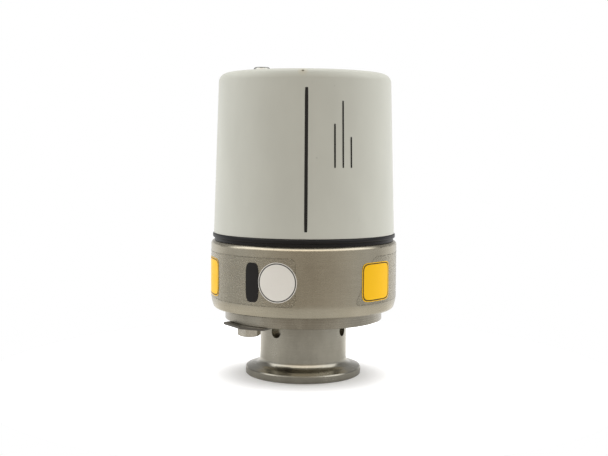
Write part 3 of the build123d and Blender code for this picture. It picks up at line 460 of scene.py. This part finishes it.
def film_sheet(columns=220, rows=19):
    """The film's points, and how far each lies from the film's edge, up to 0.4 mm.

    A column's height shrinks by a quarter circle near both ends, and the start leans. Columns and rows
    crowd at the edges as 1 - cos of even steps, so that the round corners and the rim are smooth.
    """
    span = can_radius * (film_end - film_start)
    quarter = np.linspace(0, math.pi / 2, 12)
    corner = film_corner * (1 - np.cos(quarter))
    middle = np.linspace(film_corner, span - film_corner, columns)[1:-1]
    along = np.concatenate([corner, middle, span - corner[::-1]])
    inset = np.zeros_like(along)
    inset[: len(quarter)] = film_corner * (1 - np.sin(quarter))
    inset[-len(quarter) :] = inset[: len(quarter)][::-1]
    across = -np.cos(np.linspace(0, math.pi, rows))[:, None]
    half = (film_high - film_low) / 2 - inset
    height = (film_low + film_high) / 2 + across * half
    lean = film_slant * (height - film_low) / (film_high - film_low) * (1 - along / span) - film_slant / 2
    ends = np.minimum(along, span - along)
    from_edge = np.minimum((1 - np.abs(across)) * half, ends[None, :])
    angle = film_start + along / can_radius + lean * (along < span / 2)
    return around(can_radius + film_gap, angle, height), np.clip(from_edge / 0.0004, 0, 1)


clear = Finish(bpy.data.materials.new("clear_film"))
x, y, z = clear.place()
film_rub = clear.noise(clear.vector(x, y, z), 320.0, 4.0, 0.65)
film_rim = 1 - clear.node("Attribute", {"attribute_name": "rim"}, output="Fac")
clear_film = clear.surface(
    Base_Color=clear.mix(film_rim, rgb(150, 146, 132), rgb(96, 90, 74)),
    Roughness=0.14 + film_rub * 0.10,
    Alpha=0.05 + film_rub.step(0.40, 0.8) * 0.03 + film_rim * 0.14,
    IOR=1.5,
)
film_points, film_edge = film_sheet()
film = new_piece(
    "label_film", film_points, grid_faces(*film_points.shape[:2]), clear_film, film_edge
)
film_wall = film.modifiers.new("thickness", "SOLIDIFY")
film_wall.thickness = film_thickness
film_wall.offset = 1.0


def field_points(surface, angle, height, half_width, half_height, squareness, rings=10, steps=96):
    """A printed field on a round surface, and how far each point lies from its edge, from 0 to 1.

    It is a superellipse |x|^n + |y|^n = 1, shrunk ring by ring towards its middle. The surface gives a
    radius for each height, and the rings crowd near the edge.
    """
    turn = np.linspace(0, 2 * math.pi, steps, endpoint=False)[None, :]
    reach = (np.abs(np.cos(turn)) ** squareness + np.abs(np.sin(turn)) ** squareness) ** (-1 / squareness)
    ring = np.sin(np.linspace(0.03, math.pi / 2, rings))[:, None]
    lift = height + half_height * ring * reach * np.sin(turn)
    bend = half_width * ring * reach * np.cos(turn) / surface(lift)
    from_edge = (1 - ring + 0 * turn) * min(half_width, half_height)
    return around(surface(lift), angle - bend, lift), from_edge


def print_field(name, colour, keyline, surface, angle, height, half_width, half_height, squareness):
    """Prints one field: its colour, a thin keyline in from its edge, and rubbed grains in the ink."""
    ink = Finish(bpy.data.materials.new(name))
    x, y, z = ink.place()
    rub = ink.noise(ink.vector(x, y, z), 900.0, 4.0, 0.65)
    edge = ink.node("Attribute", {"attribute_name": "rim"}, output="Fac")
    line = edge.step(0.20, 0.30) * (1 - edge.step(0.55, 0.65))
    body = ink.mix(rub.step(0.60, 0.80) * 0.35, rgb(*colour), rgb(*[0.85 * c + 20 for c in colour]))
    printed = ink.surface(
        Base_Color=ink.mix(line, body, rgb(*(keyline or colour))),
        Roughness=0.34 + rub * 0.20,
        Specular_IOR_Level=0.25,
    )
    points, from_edge = field_points(surface, math.radians(angle), height, half_width, half_height, squareness)
    middle = [list(range(points.shape[1]))[::-1]]
    faces = grid_faces(*points.shape[:2], closed=True) + middle
    new_piece(name, points, faces, printed, np.clip(from_edge / 0.001, 0, 1))


def on_film(height):
    """The film's outer radius, and the ink's thickness over it."""
    return can_radius + film_gap + film_thickness + 0.000012 + 0 * height


yellow, dark_print, pale_print = (247, 192, 0), (30, 28, 27), (232, 229, 222)
print_field("field_yellow_right", yellow, dark_print, on_film, 49.0, 0.0346, 0.0072, 0.0064, 7.0)
print_field("field_yellow_left", yellow, dark_print, on_film, -74.5, 0.0346, 0.0070, 0.0064, 7.0)
print_field("field_dark", dark_print, None, on_film, -31.2, 0.0348, 0.0025, 0.0064, 4.0)
print_field("field_white", pale_print, dark_print, on_film, -15.4, 0.0351, 0.0065, 0.0065, 2.0)


# Seals: black rubber mouldings with a satin skin. The housing's seal lies between the steel and the cap,
# one ring seals the feedthrough flange, and a flat gasket lies under the connector.
rubber = Finish(bpy.data.materials.new("black_rubber"))
x, y, z = rubber.place()
skin = rubber.noise(rubber.vector(x, y, z), 2400.0, 3.0, 0.6)
dust = rubber.noise(rubber.vector(x, y, z * 3), 260.0, 4.0, 0.65).step(0.58, 0.85)
black_rubber = rubber.surface(
    Base_Color=rubber.mix(dust * 0.4, rgb(17, 15, 16), rgb(52, 49, 46)),
    Roughness=0.34 + skin * 0.12 + dust * 0.2,
    Specular_IOR_Level=0.3,
    Normal=rubber.bump(skin, 0.000006),
)
dress(["housing_seal", "chamber_seal", "connector_gasket"], black_rubber)


# Cap: one moulding in light grey plastic with a fine spark texture, closed at the bottom by the
# electronics base. Handling has left faint grey rubs, some specks, and a chip on the upper edge.
def moulded(name, colour, roughness, grain=0.000006, scuff=0.25):
    """A moulded plastic: its colour a little darker and lighter in slow clouds, and a fine grain."""
    finish = Finish(bpy.data.materials.new(name))
    x, y, z = finish.place()
    spark = finish.noise(finish.vector(x, y, z), 3800.0, 3.0, 0.6)
    cloud = finish.noise(finish.vector(x, y, z * 0.5), 75.0, 3.0, 0.55)
    specks = finish.noise(finish.vector(x, y, z), 620.0, 2.0, 0.5).step(0.76, 0.80)
    body = finish.mix(cloud.step(0.25, 0.75), rgb(*[0.965 * c for c in colour]), rgb(*colour))
    return finish, spark, cloud, finish.mix(specks * scuff, body, rgb(*[0.7 * c for c in colour]))


cap_paint, spark, cloud, cap_colour = moulded("light_grey_plastic", (201, 202, 192), 0.42)
chip = cap_paint.near([(-0.0007, -0.0287, 0.1025)], 0.0006)
chip_halo = cap_paint.near([(-0.0007, -0.0287, 0.1022)], 0.0020, 0.8)
chipped = cap_paint.mix(chip_halo * 0.35, cap_colour, rgb(196, 182, 146))
rubbed = cap_paint.noise(cap_paint.vector(*cap_paint.place()), 210.0, 5.0, 0.7).step(0.66, 0.80)
light_grey_plastic = cap_paint.surface(
    Base_Color=cap_paint.mix(
        (chip + rubbed * 0.10).clamped(), chipped, rgb(92, 84, 66)
    ),
    Roughness=0.40 + (cloud - 0.5) * 0.12 + (spark - 0.5) * 0.10 + rubbed * 0.10,
    Normal=cap_paint.bump(spark - chip * 0.8, 0.000008),
)
dress(["cap"], light_grey_plastic)

# Print on the cap: plain dark rules, one long and three short, screen printed along its height.
cap_foot, cap_foot_radius, cap_taper = 0.0491, 0.0311, 0.03108


def on_cap(height):
    """The cap's outer radius, which falls evenly with the height, and the ink's thickness over it."""
    return cap_foot_radius - cap_taper * (height - cap_foot) + 0.000012


for rule, (angle, low, high, half_width) in enumerate(
    (
        (1.0, 0.0513, 0.0971, 0.00055),
        (18.6, 0.0717, 0.0857, 0.0003),
        (24.0, 0.0717, 0.0930, 0.0003),
        (29.6, 0.0717, 0.0816, 0.0003),
    )
):
    print_field(
        f"cap_rule_{rule}", dark_print, None, on_cap, angle, (low + high) / 2, half_width, (high - low) / 2, 12.0
    )

# Connector: a dark glass filled moulding in the cap's top, held by two screws, with six tinned contacts
# round a post and a brass insert for the cable's screw.
dark_paint, spark, cloud, dark_colour = moulded("dark_grey_plastic", (52, 52, 55), 0.5)
dark_plastic = dark_paint.surface(
    Base_Color=dark_colour, Roughness=0.46 + (spark - 0.5) * 0.2, Normal=dark_paint.bump(spark, 0.00001)
)
dress(["connector_body", "board_header", "hv_module", "signal_chips", "capacitors"], dark_plastic)
dress(["connector_contacts"], drawn_wire("tinned_brass", rgb(196, 194, 186), rgb(220, 218, 212), 0.24))
brass = machined("turned_brass", rgb(186, 152, 84), rgb(214, 182, 112), 0.22, 0.000003)
dress(["connector_insert", "lower_standoffs", "upper_standoffs", "hv_contact"], brass)

# Electronics: a cast aluminium base under the cap, and two round green boards on brass standoffs. The
# lower one makes the high voltage with a small transformer, and the upper one amplifies the signal.
dress(["electronics_base"], machined("cast_aluminium", rgb(176, 177, 178), rgb(204, 205, 206), 0.46, 0.00002))
white_paint, spark, cloud, white_colour = moulded("white_plastic", (232, 230, 220), 0.4)
dress(
    ["hv_insulator"],
    white_paint.surface(
        Base_Color=white_colour, Roughness=0.34 + (spark - 0.5) * 0.1, Normal=white_paint.bump(spark, 0.000004)
    ),
)
board = Finish(bpy.data.materials.new("board_green"))
x, y, z = board.place()
track = board.node("TexWave", {"wave_type": "BANDS"}, output="Fac", Scale=120.0, Distortion=6.0, Detail=1.0,
                   Vector=board.vector(x, y, 0.0)).step(0.55, 0.6)
weave = board.noise(board.vector(x * 1.0, y * 3.0, z), 1400.0, 2.0)
green_board = board.surface(
    Base_Color=board.mix(track * 0.5 + weave * 0.2, rgb(24, 92, 58), rgb(58, 132, 84)),
    Roughness=0.28 + weave * 0.12,
    Normal=board.bump(track, 0.00002),
)
dress(["hv_board", "signal_board"], green_board)
blue_paint, spark, cloud, blue_colour = moulded("blue_plastic", (40, 76, 150), 0.3)
dress(["trimmers"], blue_paint.surface(Base_Color=blue_colour, Roughness=0.26 + (spark - 0.5) * 0.1))
tape = Finish(bpy.data.materials.new("coil_tape"))
x, y, z = tape.place()
laps = tape.node("TexWave", {"wave_type": "BANDS", "bands_direction": "Z"}, output="Fac", Scale=160.0)
dress(
    ["transformer_coil"],
    tape.surface(
        Base_Color=tape.mix(laps.step(0.2, 0.8), rgb(196, 152, 60), rgb(226, 186, 92)),
        Roughness=0.32 + laps * 0.1,
        Normal=tape.bump(laps, 0.00003),
    ),
)
